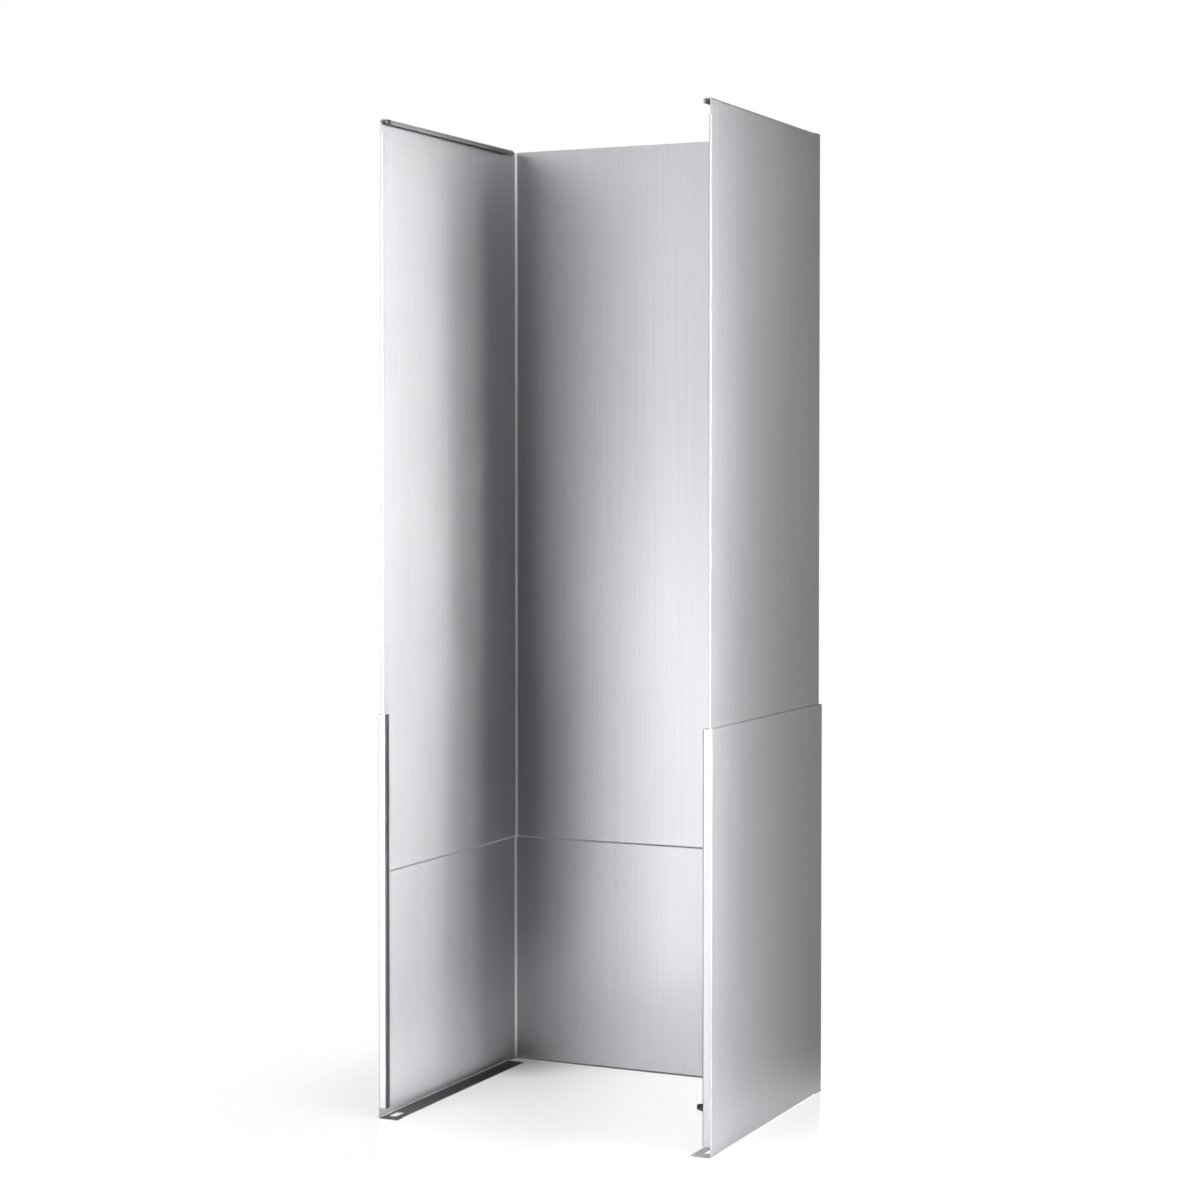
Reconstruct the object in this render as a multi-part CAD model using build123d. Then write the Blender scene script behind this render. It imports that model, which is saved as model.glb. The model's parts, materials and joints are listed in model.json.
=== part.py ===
"""Telescoping duct cover for a wall-mounted range hood.

Two three-sided covers are folded from stainless sheet and are open towards the wall.
The upper cover slides inside the lower one between glide strips and pads, and its two
wall-side edges run in the return channels folded along the lower cover's edges.

Frame: millimetres, +Z up, the wall at -Y and the front panel at +Y.
Origin: the middle of the lower cover's outline, on the surface that it stands on.
"""
from build123d import *
from math import cos, radians, sin, tan
import os

# Sheet and folds, the same on both covers
SHEET = 0.8               # sheet thickness
CORNER_RADIUS = 2.5       # inside radius of the vertical front corners
FOLD_RADIUS = 0.9         # inside radius of every smaller fold
RELIEF_WIDTH = 1.2        # slit that ends a fold, so that the sheet doesn't tear
RELIEF_DEPTH = 3.4

# Lower cover, the outer one
WIDTH = 320.0             # outside, left to right
DEPTH = 268.0             # wall plane to the outside of the front panel
LOWER_HEIGHT = 360.0

# Return channels folded along the wall-side edges of the lower cover
CHANNEL_WIDTH = 8.6       # outside of the side panel to the duct side of the lip
CHANNEL_LIP = 7.4         # outer corner of the fold to the edge of the lip
CHANNEL_LEAN = 9.0        # degrees by which the lip closes towards the side panel
CHANNEL_END = 9.5         # height of the channels' lower ends

# Base flanges, folded inwards along the bottom of the lower cover's two sides
BASE_FLANGE = 18.5        # outside of the side panel to the edge of the flange
BASE_FLANGE_STOP = 18.0   # outside of the front panel to the end of the flange
SLOT_WIDTH = 7.5
SLOT_LENGTH = 17.0
SLOT_INSET = 8.4          # outside of the side panel to the middle of the slot
SLOT_SETBACK = 18.0       # wall plane to the middle of the slot

# Upper cover, the inner one
UPPER_HEIGHT = 667.0
OVERLAP = 142.0           # length of the upper cover inside the lower one, as shown
COVER_GAP = 1.4           # face to face between the two covers
WALL_SETBACK = 2.8        # wall plane to the upper cover's wall-side edges
HEM_WIDTH = 7.0           # folded-back strip that stiffens each wall-side edge
HEM_GAP = 0.4             # between the hem and its panel
HEM_RADIUS = 0.15         # inside radius of the two folds that make a hem
HEM_END = 14.0            # top of the upper cover to the top of the hems
TOP_RETURN = 7.2          # outside of the side panel to the duct side of the top lip
TOP_LIP = 4.6             # top of the return to the edge of its lip
TOP_RETURN_STOP = 20.0    # outside of the front panel to the end of the return

# Glide strips in the lower cover's mouth, and glide pads round the upper cover's foot
GLIDE_CLEARANCE = 0.35    # glide to the sheet that slides past it
STRIP_HEIGHT = 12.0
STRIP_INSET = 5.0         # top edge of the lower cover to the strip
GLIDE_MARGIN = 16.0       # wall plane, or outside of a panel, to the end of a glide
PAD_HEIGHT = 15.0
PAD_LENGTH = 40.0
PAD_INSET = 4.0           # bottom edge of the upper cover to the pads

# Stop plug, pushed from the channel through the lip on the right
STOP_HEIGHT = 41.0        # bottom of the lower cover to the plug's axis
STOP_SHANK_RADIUS = 2.1
STOP_HOLE_CLEARANCE = 0.05  # shank to the hole in the lip, all round
STOP_TAIL_LENGTH = 6.6
STOP_TAIL_RADIUS = 3.5    # where the tail bears on the lip
STOP_TIP_RADIUS = 2.4
STOP_TIP_ROUNDING = 0.8
STOP_END_CLEARANCE = 0.5  # end of the buffer in the channel to the side panel
STOP_SIDE_CLEARANCE = 0.1   # buffer to the ends of the lip's flat part

half_width = WIDTH / 2
wall_y = -DEPTH / 2
front_y = DEPTH / 2
upper_bottom = LOWER_HEIGHT - OVERLAP
upper_top = upper_bottom + UPPER_HEIGHT
nesting = SHEET + COVER_GAP
upper_half_width = half_width - nesting
upper_front_y = front_y - nesting
upper_wall_y = wall_y + WALL_SETBACK
glide_thickness = COVER_GAP - GLIDE_CLEARANCE

# The plug sits in the middle of the flat part of the right-hand channel's lip, square to it
lean = radians(CHANNEL_LEAN)
lip_flat_start = (SHEET + FOLD_RADIUS) * tan(radians(90 + CHANNEL_LEAN) / 2)
stop_along_lip = (lip_flat_start + CHANNEL_LIP) / 2
stop_x = half_width - CHANNEL_WIDTH + stop_along_lip * sin(lean)
stop_y = wall_y + stop_along_lip * cos(lean)
stop_buffer_radius = (CHANNEL_LIP - lip_flat_start) / 2 - STOP_SIDE_CLEARANCE


def inner_line(points):
    """The points of the sheet's inner face, one sheet to the right of its outer face."""
    steps = [(b - a).normalized() for a, b in zip(points, points[1:])]
    sides = [Vector(step.Y, -step.X) for step in steps]
    mitres = [(a + b) / (1 + a.dot(b)) for a, b in zip(sides, sides[1:])]
    offsets = [sides[0], *mitres, sides[-1]]
    return [point + offset * SHEET for point, offset in zip(points, offsets)]


def sheet_section(corners, radii):
    """A strip of sheet that folds clockwise, from its outer corners and inside radii."""
    outer_points = [Vector(*corner) for corner in corners]
    inner_points = inner_line(outer_points)
    outer = FilletPolyline(*outer_points, radius=[radius + SHEET for radius in radii])
    inner = FilletPolyline(*inner_points, radius=list(radii))
    start = Line(outer_points[0], inner_points[0])
    end = Line(outer_points[-1], inner_points[-1])
    return make_face([*outer.edges(), end, *inner.edges(), start])


def upright(section, low, high):
    """The section, drawn in plan, from one height to another."""
    return extrude(Pos(0, 0, low) * section, amount=high - low, dir=(0, 0, 1))


def lengthwise(section, near, far):
    """The section, drawn across the cover, from one depth to another."""
    plane = Plane(origin=(0, near, 0), x_dir=(1, 0, 0), z_dir=(0, -1, 0))
    return extrude(plane * section, amount=far - near, dir=(0, 1, 0))


def block(low, high):
    """A box between two opposite corners."""
    sizes = [b - a for a, b in zip(low, high)]
    return Pos(*low) * Box(*sizes, align=(Align.MIN, Align.MIN, Align.MIN))


def both_sides(left):
    """A shape on the left and its mirror image on the right."""
    return left + mirror(left, about=Plane.YZ)


def plain_plan(half, near, front):
    """Plan of a three-sided cover with plain wall-side edges."""
    corners = [(-half, near), (-half, front), (half, front), (half, near)]
    return sheet_section(corners, [CORNER_RADIUS] * 2)


def returned_plan(half, near, front, width, lip, fold, closing=0.0):
    """Plan of a three-sided cover whose wall-side edges fold inwards and back."""
    edge = (-half + width - lip * sin(closing), near + lip * cos(closing))
    left = [edge, (-half + width, near), (-half, near)]
    right = [(-x, y) for x, y in reversed(left)]
    corners = [*left, (-half, front), (half, front), *right]
    return sheet_section(corners, [fold, fold, CORNER_RADIUS, CORNER_RADIUS, fold, fold])


def relief(half, y, low, high):
    """The slit on the left that ends a fold beside a panel that stays straight."""
    return block((-half - SHEET, y, low), (-half + 2 * SHEET, y + RELIEF_WIDTH, high))


def make_lower_cover():
    channels = returned_plan(
        half_width, wall_y, front_y, CHANNEL_WIDTH, CHANNEL_LIP, FOLD_RADIUS, lean)
    cover = upright(channels, CHANNEL_END, LOWER_HEIGHT)
    cover += upright(plain_plan(half_width, wall_y, front_y), 0, CHANNEL_END)

    flange_end = front_y - BASE_FLANGE_STOP
    fold_top = CHANNEL_END / 2
    straight = block((-half_width, wall_y, 0), (-half_width + SHEET, flange_end, fold_top))
    corners = [(-half_width + BASE_FLANGE, 0), (-half_width, 0), (-half_width, fold_top)]
    flange = lengthwise(sheet_section(corners, [FOLD_RADIUS]), wall_y, flange_end)
    cover = cover - both_sides(straight) + both_sides(flange)
    cover -= both_sides(relief(half_width, flange_end, 0, RELIEF_DEPTH))

    slot = Pos(-half_width + SLOT_INSET, wall_y + SLOT_SETBACK) * SlotOverall(
        SLOT_LENGTH, SLOT_WIDTH, rotation=90)
    cover -= both_sides(upright(slot, 0, SHEET))

    return cover - stop_rod(STOP_SHANK_RADIUS + STOP_HOLE_CLEARANCE, 0, SHEET)


def on_stop_axis(shape):
    """Turns a shape's +Z into the plug's axis, which starts at the lip's duct side."""
    return Pos(stop_x, stop_y, STOP_HEIGHT) * Rot(0, 0, -CHANNEL_LEAN) * Rot(0, 90, 0) * shape


def stop_rod(radius, start, length):
    """A round rod on the plug's axis, from a distance past the lip's duct side."""
    rod = Cylinder(radius, length, align=(Align.CENTER, Align.CENTER, Align.MIN))
    return on_stop_axis(Pos(0, 0, start) * rod)


def make_stop_plug():
    reach = half_width - SHEET - STOP_END_CLEARANCE - stop_x
    buffer_length = (reach - stop_buffer_radius * sin(lean)) / cos(lean) - SHEET
    cone = Cone(STOP_TIP_RADIUS, STOP_TAIL_RADIUS, STOP_TAIL_LENGTH,
                align=(Align.CENTER, Align.CENTER, Align.MAX))
    tip = cone.edges().filter_by(GeomType.CIRCLE).sort_by(Axis.Z)[0]
    plug = on_stop_axis(fillet(tip, STOP_TIP_ROUNDING))
    plug += stop_rod(STOP_SHANK_RADIUS, 0, SHEET)
    plug += stop_rod(stop_buffer_radius, SHEET, buffer_length)
    return plug


def make_upper_cover():
    hem_top = upper_top - HEM_END
    hems = returned_plan(
        upper_half_width, upper_wall_y, upper_front_y, 2 * SHEET + HEM_GAP, HEM_WIDTH, HEM_RADIUS)
    cover = upright(hems, upper_bottom, hem_top)
    plain = plain_plan(upper_half_width, upper_wall_y, upper_front_y)
    cover += upright(plain, hem_top, upper_top)

    return_end = upper_front_y + nesting - TOP_RETURN_STOP
    fold_bottom = upper_top - TOP_LIP
    left = -upper_half_width
    straight = block((left, upper_wall_y, fold_bottom), (left + SHEET, return_end, upper_top))
    corners = [(left, fold_bottom), (left, upper_top)]
    corners += [(left + TOP_RETURN, upper_top), (left + TOP_RETURN, fold_bottom)]
    section = sheet_section(corners, [FOLD_RADIUS] * 2)
    top_return = lengthwise(section, upper_wall_y, return_end)
    cover = cover - both_sides(straight) + both_sides(top_return)
    cover -= both_sides(relief(upper_half_width, return_end, upper_top - RELIEF_DEPTH, upper_top))
    return cover


def side_glide(face_x, near, far, low, height):
    """A glide on the left, between the covers, from face_x towards the right."""
    return block((face_x, near, low), (face_x + glide_thickness, far, low + height))


def front_glide(near, left, right, low, height):
    """A glide between the front panels, from near towards the front."""
    return block((left, near, low), (right, near + glide_thickness, low + height))


def make_strips():
    """The strips inside the lower cover's mouth, by the panel that each is on."""
    low = LOWER_HEIGHT - STRIP_INSET - STRIP_HEIGHT
    near = wall_y + GLIDE_MARGIN
    far = front_y - GLIDE_MARGIN
    left = side_glide(-half_width + SHEET, near, far, low, STRIP_HEIGHT)
    end = half_width - GLIDE_MARGIN
    front = front_glide(front_y - SHEET - glide_thickness, -end, end, low, STRIP_HEIGHT)
    return {"left": left, "right": mirror(left, about=Plane.YZ), "front": front}


def make_pads():
    """The pads round the upper cover's foot, by the panel and the end of it."""
    low = upper_bottom + PAD_INSET
    face_x = -upper_half_width - glide_thickness
    starts = {"wall": wall_y + GLIDE_MARGIN, "corner": front_y - GLIDE_MARGIN - PAD_LENGTH}
    pads = {}
    for end, start in starts.items():
        left = side_glide(face_x, start, start + PAD_LENGTH, low, PAD_HEIGHT)
        pads[f"left_{end}"] = left
        pads[f"right_{end}"] = mirror(left, about=Plane.YZ)
    outer = -half_width + GLIDE_MARGIN
    left = front_glide(upper_front_y, outer, outer + PAD_LENGTH, low, PAD_HEIGHT)
    pads["front_left"] = left
    pads["front_right"] = mirror(left, about=Plane.YZ)
    return pads


def save(name, shape):
    export_step(shape, f"parts/{name}.step")


os.makedirs("parts", exist_ok=True)
save("lower_cover", make_lower_cover())
save("upper_cover", make_upper_cover())
save("stop_plug", make_stop_plug())
for side, strip in make_strips().items():
    save(f"glide_strip_{side}", strip)
for spot, pad in make_pads().items():
    save(f"glide_pad_{spot}", pad)
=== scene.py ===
"""Studio picture of the telescoping duct cover: brushed steel on a glossy white floor."""
import json
import math

import bpy
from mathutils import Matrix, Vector


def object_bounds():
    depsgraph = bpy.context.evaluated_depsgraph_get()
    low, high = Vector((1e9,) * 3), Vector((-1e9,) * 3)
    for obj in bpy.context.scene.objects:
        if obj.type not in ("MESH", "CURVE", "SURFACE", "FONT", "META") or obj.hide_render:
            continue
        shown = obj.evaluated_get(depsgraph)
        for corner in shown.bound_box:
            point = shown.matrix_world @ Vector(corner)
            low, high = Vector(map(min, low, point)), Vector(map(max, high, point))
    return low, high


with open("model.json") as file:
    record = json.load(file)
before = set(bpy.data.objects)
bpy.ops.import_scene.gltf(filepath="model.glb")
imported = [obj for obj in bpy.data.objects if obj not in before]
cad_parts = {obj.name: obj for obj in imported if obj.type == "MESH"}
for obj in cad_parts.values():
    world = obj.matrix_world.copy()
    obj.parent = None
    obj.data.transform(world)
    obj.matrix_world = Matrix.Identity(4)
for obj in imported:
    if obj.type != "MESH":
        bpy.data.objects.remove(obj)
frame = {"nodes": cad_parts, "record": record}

cad_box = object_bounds()

# Camera: its place in metres from the middle of the cover's outline on the floor, its angles in
# degrees, its lens and sensor in millimetres, and its upward shift as a share of the frame
CAMERA_PLACE = Vector((0.987, -2.1212, 0.570))
CAMERA_AZIMUTH = 25.07
CAMERA_PITCH = 1.60
CAMERA_LENS = 77.64
CAMERA_SENSOR = 36.0
CAMERA_SHIFT = -0.0421

# The planes of the cover's open side, front panel, right side panel and top
OPEN_SIDE_Y = cad_box[0][1]
FRONT_PANEL_Y = cad_box[1][1]
SIDE_PANEL_X = cad_box[1][0]
TOP_Z = cad_box[1][2]

# The brushing: how much longer each streak's noise is along the grain, the scales and shares of
# the fine and the broad streaks, and the scale of the slow patches and how far they are drawn out
STREAK_SQUEEZE = 0.006
FINE_STREAKS = 2600.0
BROAD_STREAKS = 420.0
FINE_SHARE = 0.6
BROAD_SHARE = 0.4
PATCH_SCALE = 9.0
PATCH_SQUEEZE = 0.35

# The steel's shading
STEEL_ROUGHNESS = 0.36
STREAK_ROUGHNESS = 0.16
PATCH_ROUGHNESS = 0.06
STEEL_ANISOTROPY = 0.82
STREAK_BUMP = 0.06
STREAK_DEPTH = 0.0002

# A face is level when the upright part of its normal is over this
LEVEL_NORMAL = 0.7

# The next values pick out the inside bends, which get a painted highlight
# The largest part of a normal is under the first value on a bend, and over the second on a flat
BEND_NORMAL = 0.92
FLAT_NORMAL = 0.998

# How far a bend's normal has to point at the duct's middle to be on the inside, in metres
INSIDE_BEND = -0.06

# The lips found below get a painted shade
# The two lips of the return channels lie inside this half width and near the open side. On the
# faces turned to the duct, the place's X times the normal's X is under the last value
LIP_HALF_WIDTH = 0.1528
LIP_DEPTH = 0.0095
LIP_INWARD = -0.03

# The lips of the top returns lie above this height, and take half as much painted shade
TOP_LIP_HEIGHT = TOP_Z - 0.0070
TOP_LIP_SHADE_SHARE = 0.5

# The sheared bottom edge is this share of a cover's height, and rolls the normal down this far
BURR_SHARE = 0.0026
BURR_ROLL = -0.7

# How far the right flange's metal shine gives way to its pale colour, for painted light on it
LIT_FLANGE_MATT_SHARE = 0.85

# The floor is solid to the first distance from the origin and gone by the second
FLOOR_CLEAR = 0.13
FLOOR_END = 0.40
FLOOR_GLOW = 0.40

# Contact shade on the floor: its reach from the front panel and from the inner left corner
CONTACT_REACH = 0.006
CORNER_REACH = 0.10

# The room round the object, which lights it but isn't seen by the camera
ROOM_GREY = (0.060, 0.060, 0.062, 1)

WHITE = (1, 1, 1, 1)

# The two gridded strips: height, distance and size in metres, and spread in degrees
GRID_HEIGHT = 0.42
GRID_DISTANCE = 1.3
GRID_WIDTH = 0.12
GRID_LENGTH = 1.2
GRID_SPREAD = 18


def new_material(name):
    """An empty node material: its node tree and its Principled shader."""
    material = bpy.data.materials.new(name)
    material.use_nodes = True
    tree = material.node_tree
    return material, tree, tree.nodes["Principled BSDF"]


def math_node(tree, operation, first, second=None):
    """A Math node on one or two sockets or numbers."""
    made = tree.nodes.new("ShaderNodeMath")
    made.operation = operation
    for socket, value in zip(made.inputs, (first, second)):
        if value is None:
            continue
        if isinstance(value, (int, float)):
            socket.default_value = value
        else:
            tree.links.new(value, socket)
    return made.outputs[0]


def vector_node(tree, operation, first, second=None):
    """A Vector Math node on one or two sockets."""
    made = tree.nodes.new("ShaderNodeVectorMath")
    made.operation = operation
    tree.links.new(first, made.inputs[0])
    if second is not None:
        tree.links.new(second, made.inputs[1])
    return made


def split(tree, vector):
    """The X, Y and Z of a vector, by name."""
    made = tree.nodes.new("ShaderNodeSeparateXYZ")
    tree.links.new(vector, made.inputs[0])
    return made.outputs


def ramp(tree, value, stops):
    """A colour ramp over a value, with stops of (place, grey or colour)."""
    made = tree.nodes.new("ShaderNodeValToRGB")
    tree.links.new(value, made.inputs["Fac"])
    elements = made.color_ramp.elements
    while len(elements) < len(stops):
        elements.new(0.5)
    for element, (place, colour) in zip(elements, stops):
        element.position = place
        if isinstance(colour, (int, float)):
            colour = (colour, colour, colour)
        element.color = (*colour, 1.0)
    return made.outputs["Color"]


def noise(tree, vector, scale, detail=2.0, roughness=0.5):
    """Smooth noise over a vector, with features of about one over its scale."""
    made = tree.nodes.new("ShaderNodeTexNoise")
    made.inputs["Scale"].default_value = scale
    made.inputs["Detail"].default_value = detail
    made.inputs["Roughness"].default_value = roughness
    tree.links.new(vector, made.inputs["Vector"])
    return made.outputs["Fac"]


def scaled(tree, vector, scale):
    """A vector multiplied part by part."""
    made = tree.nodes.new("ShaderNodeMapping")
    made.vector_type = "POINT"
    made.inputs["Scale"].default_value = scale
    tree.links.new(vector, made.inputs["Vector"])
    return made.outputs["Vector"]


def mixed(tree, factor, first, second):
    """A colour mix of two sockets."""
    made = tree.nodes.new("ShaderNodeMix")
    made.data_type = "RGBA"
    tree.links.new(factor, made.inputs["Factor"])
    tree.links.new(first, made.inputs["A"])
    tree.links.new(second, made.inputs["B"])
    return made.outputs["Result"]


def object_place(tree):
    """The place on the piece, which moves with it."""
    return tree.nodes.new("ShaderNodeTexCoord").outputs["Object"]


def bumped(tree, shader, height, strength, distance, under=None):
    """Puts bumps of a height on the shader, over another normal where one is given."""
    bump = tree.nodes.new("ShaderNodeBump")
    bump.inputs["Strength"].default_value = strength
    bump.inputs["Distance"].default_value = distance
    tree.links.new(height, bump.inputs["Height"])
    if under is not None:
        tree.links.new(under, bump.inputs["Normal"])
    tree.links.new(bump.outputs["Normal"], shader.inputs["Normal"])


def steel_grain(tree, place, level):
    """Brushing streaks: upright on the panels, and across the level faces."""
    upright = scaled(tree, place, (1.0, 1.0, STREAK_SQUEEZE))
    across = scaled(tree, place, (STREAK_SQUEEZE, 1.0, 1.0))
    grain = mixed(tree, level, upright, across)
    fine = noise(tree, grain, FINE_STREAKS, 3.0, 0.65)
    broad = noise(tree, grain, BROAD_STREAKS, 3.0, 0.6)
    fine = math_node(tree, "MULTIPLY", fine, FINE_SHARE)
    return math_node(tree, "ADD", fine, math_node(tree, "MULTIPLY", broad, BROAD_SHARE))


def streak_tone(tree, streaks, low, high):
    """A colour that goes from low to high over the streaks."""
    return ramp(tree, streaks, [(0.30, low), (0.70, high)])


def painted_bend_highlight(tree, place, normal):
    """One on the inside of the sheet's bends, where a highlight is painted in a colour brighter
    than the panels.
    """
    size = split(tree, vector_node(tree, "ABSOLUTE", normal).outputs["Vector"])
    largest = math_node(tree, "MAXIMUM", size["X"], size["Y"])
    largest = math_node(tree, "MAXIMUM", largest, size["Z"])
    bent = ramp(tree, largest, [(BEND_NORMAL, 1.0), (FLAT_NORMAL, 0.0)])
    outward = scaled(tree, place, (1.0, 1.0, 0.0))
    facing = vector_node(tree, "DOT_PRODUCT", normal, outward).outputs["Value"]
    inside = math_node(tree, "LESS_THAN", facing, INSIDE_BEND)
    return math_node(tree, "MULTIPLY", bent, inside)


def painted_lip_shade(tree, place, normal):
    """How much painted shade darkens the channel lips and top lips, on the faces turned to the
    duct.
    """
    at = split(tree, place)
    turned = split(tree, normal)
    narrow = math_node(tree, "ABSOLUTE", at["X"])
    narrow = math_node(tree, "LESS_THAN", narrow, LIP_HALF_WIDTH)
    near = math_node(tree, "LESS_THAN", at["Y"], OPEN_SIDE_Y + LIP_DEPTH)
    inward = math_node(tree, "MULTIPLY", at["X"], turned["X"])
    inward = math_node(tree, "LESS_THAN", inward, LIP_INWARD)
    high = math_node(tree, "GREATER_THAN", at["Z"], TOP_LIP_HEIGHT)
    high = math_node(tree, "MULTIPLY", high, TOP_LIP_SHADE_SHARE)
    on_lip = math_node(tree, "MAXIMUM", near, high)
    return math_node(tree, "MULTIPLY", math_node(tree, "MULTIPLY", narrow, on_lip), inward)


def painted_flange_light_and_shade(tree, place, streaks):
    """The level faces' colour, with painted shade on the left and painted light on the right, and
    a mask that is one on the right.
    """
    rightward = math_node(tree, "GREATER_THAN", split(tree, place)["X"], 0.0)
    # Painted shade: the level faces on the left take a dark colour; painted light: those on the
    # right a pale colour
    painted_shade_tone = streak_tone(tree, streaks, (0.12, 0.12, 0.125), (0.22, 0.22, 0.225))
    painted_light_tone = streak_tone(tree, streaks, (0.68, 0.68, 0.70), (0.78, 0.78, 0.80))
    return mixed(tree, rightward, painted_shade_tone, painted_light_tone), rightward


def burred_edge(tree, normal):
    """The surface normal, rolled downwards along the sheared bottom edge of a cover."""
    share = split(tree, tree.nodes.new("ShaderNodeTexCoord").outputs["Generated"])
    low = math_node(tree, "LESS_THAN", share["Z"], BURR_SHARE)
    roll = tree.nodes.new("ShaderNodeCombineXYZ")
    tree.links.new(math_node(tree, "MULTIPLY", low, BURR_ROLL), roll.inputs["Z"])
    total = vector_node(tree, "ADD", normal, roll.outputs[0]).outputs["Vector"]
    return vector_node(tree, "NORMALIZE", total).outputs["Vector"]


def steel_colour(tree, place, normal, level, streaks):
    """The colour of panels, flanges, bends and lips, with painted light and shade on the flanges,
    a painted highlight on the inside bends and painted shade on the lips, and a mask that is one
    on the right.
    """
    panel = streak_tone(tree, streaks, (0.455, 0.457, 0.474), (0.555, 0.557, 0.576))
    flange, rightward = painted_flange_light_and_shade(tree, place, streaks)
    colour = mixed(tree, level, panel, flange)
    # Painted highlight: the inside of the bends takes a near-white colour
    painted_highlight_tone = streak_tone(tree, streaks, (0.86, 0.86, 0.865), (0.96, 0.96, 0.965))
    colour = mixed(tree, painted_bend_highlight(tree, place, normal), colour, painted_highlight_tone)
    # Painted shade: the lips turned to the duct take a near-black colour
    painted_shade_tone = streak_tone(tree, streaks, (0.05, 0.05, 0.052), (0.09, 0.09, 0.092))
    colour = mixed(tree, painted_lip_shade(tree, place, normal), colour, painted_shade_tone)
    return colour, rightward


def brushed_steel():
    """Stainless sheet, brushed along its length before it was folded."""
    material, tree, shader = new_material("brushed_stainless")
    place = object_place(tree)
    surface = tree.nodes.new("ShaderNodeNewGeometry")
    normal = surface.outputs["True Normal"]
    level = math_node(tree, "ABSOLUTE", split(tree, normal)["Z"])
    level = math_node(tree, "GREATER_THAN", level, LEVEL_NORMAL)
    streaks = steel_grain(tree, place, level)
    patches = noise(tree, scaled(tree, place, (1.0, 1.0, PATCH_SQUEEZE)), PATCH_SCALE, 2.0)

    colour, rightward = steel_colour(tree, place, normal, level, streaks)
    tree.links.new(colour, shader.inputs["Base Color"])
    rough = math_node(tree, "MULTIPLY", streaks, STREAK_ROUGHNESS)
    rough = math_node(tree, "ADD", rough, STEEL_ROUGHNESS)
    rough = math_node(tree, "ADD", rough, math_node(tree, "MULTIPLY", patches, PATCH_ROUGHNESS))
    tree.links.new(rough, shader.inputs["Roughness"])
    # Painted light on the right flange: its metal shine gives way to its pale colour
    lit_flange_matt = math_node(tree, "MULTIPLY", level, rightward)
    lit_flange_matt = math_node(tree, "MULTIPLY", lit_flange_matt, LIT_FLANGE_MATT_SHARE)
    tree.links.new(math_node(tree, "SUBTRACT", 1.0, lit_flange_matt), shader.inputs["Metallic"])
    shader.inputs["Anisotropic"].default_value = STEEL_ANISOTROPY
    edge = burred_edge(tree, surface.outputs["Normal"])
    bumped(tree, shader, streaks, STREAK_BUMP, STREAK_DEPTH, edge)
    return material


def black_rubber():
    """Matt moulded rubber with a fine grain."""
    material, tree, shader = new_material("black_rubber")
    grain = noise(tree, object_place(tree), 3000.0, 4.0)
    tree.links.new(ramp(tree, grain, [(0.3, 0.006), (0.7, 0.016)]), shader.inputs["Base Color"])
    rough = math_node(tree, "MULTIPLY", grain, 0.2)
    tree.links.new(math_node(tree, "ADD", rough, 0.45), shader.inputs["Roughness"])
    return material


def glide_felt():
    """Pressed grey felt."""
    material, tree, shader = new_material("glide_felt")
    fibres = noise(tree, scaled(tree, object_place(tree), (1.0, 1.0, 0.4)), 4200.0, 5.0, 0.7)
    tree.links.new(ramp(tree, fibres, [(0.3, 0.05), (0.7, 0.14)]), shader.inputs["Base Color"])
    shader.inputs["Roughness"].default_value = 0.95
    bumped(tree, shader, fibres, 0.5, 0.0003)
    return material


def dress(nodes, materials):
    """Gives each CAD node the material of its slot."""
    slots = {part["node"]: part["material_slot"] for part in frame["record"]["subparts"]}
    for name, thing in nodes.items():
        thing.data.materials.clear()
        thing.data.materials.append(materials[slots[name]])


def contact_shade(tree, place):
    """Zero where the floor meets the front panel and the inner left corner, one further out."""
    at = split(tree, place)
    gap = math_node(tree, "SUBTRACT", at["Y"], FRONT_PANEL_Y)
    gap = math_node(tree, "ABSOLUTE", gap)
    beyond = math_node(tree, "ABSOLUTE", at["X"])
    beyond = math_node(tree, "SUBTRACT", beyond, SIDE_PANEL_X)
    gap = math_node(tree, "ADD", gap, math_node(tree, "MAXIMUM", beyond, 0.0))
    line = math_node(tree, "DIVIDE", gap, CONTACT_REACH)
    away = vector_node(tree, "DISTANCE", place)
    away.inputs[1].default_value = (-SIDE_PANEL_X, FRONT_PANEL_Y, 0)
    corner = math_node(tree, "DIVIDE", away.outputs["Value"], CORNER_REACH)
    return math_node(tree, "MINIMUM", math_node(tree, "MINIMUM", line, corner), 1.0)


def floor_surface():
    """Pale and glossy, and gone into the white backdrop by FLOOR_END."""
    material, tree, shader = new_material("studio_white")
    place = object_place(tree)
    pale = ramp(tree, noise(tree, place, 3.0, 2.0), [(0.3, 0.90), (0.7, 0.93)])
    shade = contact_shade(tree, place)
    shaded = ramp(tree, shade, [(0.0, 0.10), (1.0, 0.92)])
    tree.links.new(mixed(tree, shade, shaded, pale), shader.inputs["Base Color"])
    shader.inputs["Roughness"].default_value = 0.12
    shader.inputs["Specular IOR Level"].default_value = 0.4
    shader.inputs["Emission Color"].default_value = WHITE
    glow = math_node(tree, "MULTIPLY", shade, FLOOR_GLOW)
    tree.links.new(glow, shader.inputs["Emission Strength"])

    distance = vector_node(tree, "LENGTH", place)
    fade = tree.nodes.new("ShaderNodeMapRange")
    fade.interpolation_type = "SMOOTHERSTEP"
    fade.inputs["From Min"].default_value = FLOOR_CLEAR
    fade.inputs["From Max"].default_value = FLOOR_END
    tree.links.new(distance.outputs["Value"], fade.inputs["Value"])
    nothing = tree.nodes.new("ShaderNodeBsdfTransparent")
    mix = tree.nodes.new("ShaderNodeMixShader")
    tree.links.new(fade.outputs["Result"], mix.inputs[0])
    tree.links.new(shader.outputs[0], mix.inputs[1])
    tree.links.new(nothing.outputs[0], mix.inputs[2])
    tree.links.new(mix.outputs[0], tree.nodes["Material Output"].inputs["Surface"])
    return material


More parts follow.
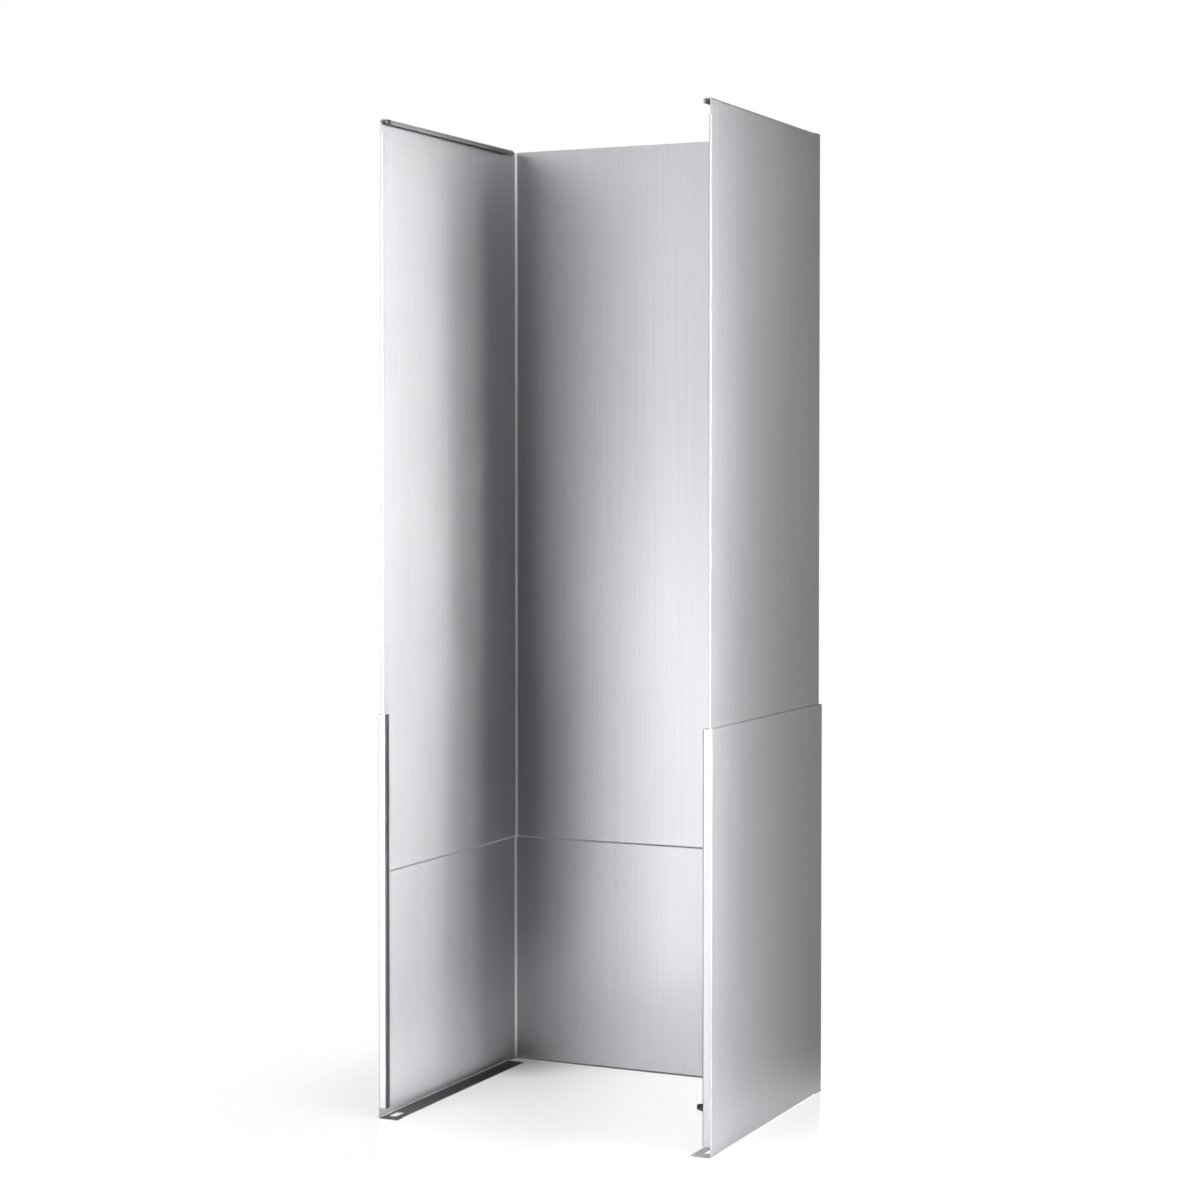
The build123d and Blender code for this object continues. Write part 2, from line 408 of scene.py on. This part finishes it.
def studio_floor():
    """A square of floor round the origin."""
    end = FLOOR_END
    mesh = bpy.data.meshes.new("studio_floor")
    corners = [(-end, -end, 0), (end, -end, 0), (end, end, 0), (-end, end, 0)]
    mesh.from_pydata(corners, [], [(0, 1, 2, 3)])
    floor = bpy.data.objects.new("studio_floor", mesh)
    bpy.context.collection.objects.link(floor)
    mesh.materials.append(floor_surface())


def around(azimuth, distance, height):
    """A place round the object. Azimuth 0 is in front of its open side, 90 is its right."""
    angle = math.radians(azimuth)
    return Vector((distance * math.sin(angle), -distance * math.cos(angle), height))


def soft_light(name, place, target, width, height, watts, spread=180):
    """A rectangular area light that the camera doesn't see."""
    data = bpy.data.lights.new(name, "AREA")
    data.shape = "RECTANGLE"
    data.size = width
    data.size_y = height
    data.energy = watts
    data.spread = math.radians(spread)
    lamp = bpy.data.objects.new(name, data)
    lamp.location = place
    lamp.visible_camera = False
    aim = Vector(target) - Vector(place)
    lamp.rotation_euler = aim.to_track_quat("-Z", "Y").to_euler()
    bpy.context.collection.objects.link(lamp)


def studio_world():
    """White behind the object for the camera, and a dim room for all other rays."""
    world = bpy.data.worlds.new("studio")
    bpy.context.scene.world = world
    world.use_nodes = True
    tree = world.node_tree
    tree.nodes.clear()
    out = tree.nodes.new("ShaderNodeOutputWorld")
    seen = tree.nodes.new("ShaderNodeBackground")
    seen.inputs["Color"].default_value = WHITE
    room = tree.nodes.new("ShaderNodeBackground")
    room.inputs["Color"].default_value = ROOM_GREY
    path = tree.nodes.new("ShaderNodeLightPath")
    mix = tree.nodes.new("ShaderNodeMixShader")
    tree.links.new(path.outputs["Is Camera Ray"], mix.inputs[0])
    tree.links.new(room.outputs[0], mix.inputs[1])
    tree.links.new(seen.outputs[0], mix.inputs[2])
    tree.links.new(mix.outputs[0], out.inputs["Surface"])


def studio_camera():
    """The camera in front of the open side, to its right."""
    data = bpy.data.cameras.new("camera")
    data.lens = CAMERA_LENS
    data.sensor_width = CAMERA_SENSOR
    data.shift_y = CAMERA_SHIFT
    camera = bpy.data.objects.new("camera", data)
    camera.location = CAMERA_PLACE
    turn = (math.radians(90 - CAMERA_PITCH), 0, math.radians(CAMERA_AZIMUTH))
    camera.rotation_euler = turn
    bpy.context.collection.objects.link(camera)
    bpy.context.scene.camera = camera


def grid_strip(name, azimuth, through_x, watts):
    """A narrow strip with a grid, aimed through the open side at the left panel's inside."""
    through = Vector((through_x, OPEN_SIDE_Y, GRID_HEIGHT))
    place = through + around(azimuth, GRID_DISTANCE, 0)
    soft_light(name, place, through, GRID_WIDTH, GRID_LENGTH, watts, GRID_SPREAD)


def studio_lights():
    """Soft boxes round the object. Each has its width, height and watts last."""
    waist = Vector((0, 0, 0.45))
    soft_light("left_box", around(-21, 1.6, 0.45), waist, 0.7, 2.2, 20.5)
    soft_light("low_left_box", around(-27, 1.5, 0.25), waist, 0.6, 0.5, 3.0)
    soft_light("foot_box", around(-24, 1.5, -0.15), (0, 0, 0.2), 0.5, 0.4, 1.9)
    soft_light("right_panel", (0.6, -0.15, 0.42), (0, -0.15, 0.42), 0.3, 1.3, 4.0)
    soft_light("back_right_box", around(115, 1.6, 0.5), waist, 0.5, 1.4, 0.5)
    soft_light("corner_strip", around(46, 1.6, 0.45), waist, 0.08, 1.8, 0.75)
    soft_light("corner_top_strip", around(46, 1.6, 1.10), (0, 0, 1.0), 0.08, 0.45, 1.5)
    soft_light("inside_top", (0, 0, 1.4), (0, 0, 0), 0.5, 0.5, 1.5)
    grid_strip("grid_strip_left", 64, -0.14, 0.87)
    grid_strip("grid_strip_right", 70, 0.03, 0.33)
    soft_light("back_box", around(200, 1.7, 0.35), waist, 0.9, 2.0, 14)
    soft_light("left_side_box", around(-100, 1.7, 0.35), waist, 1.0, 2.0, 9)
    soft_light("overhead", (0, -0.2, 2.4), (0, -0.2, 0), 2.0, 2.0, 14)


bpy.context.scene.view_settings.view_transform = "Standard"
surfaces = {
    "brushed_stainless": brushed_steel(),
    "black_rubber": black_rubber(),
    "glide_felt": glide_felt(),
}
dress(frame["nodes"], surfaces)
studio_floor()
studio_world()
studio_lights()
studio_camera()
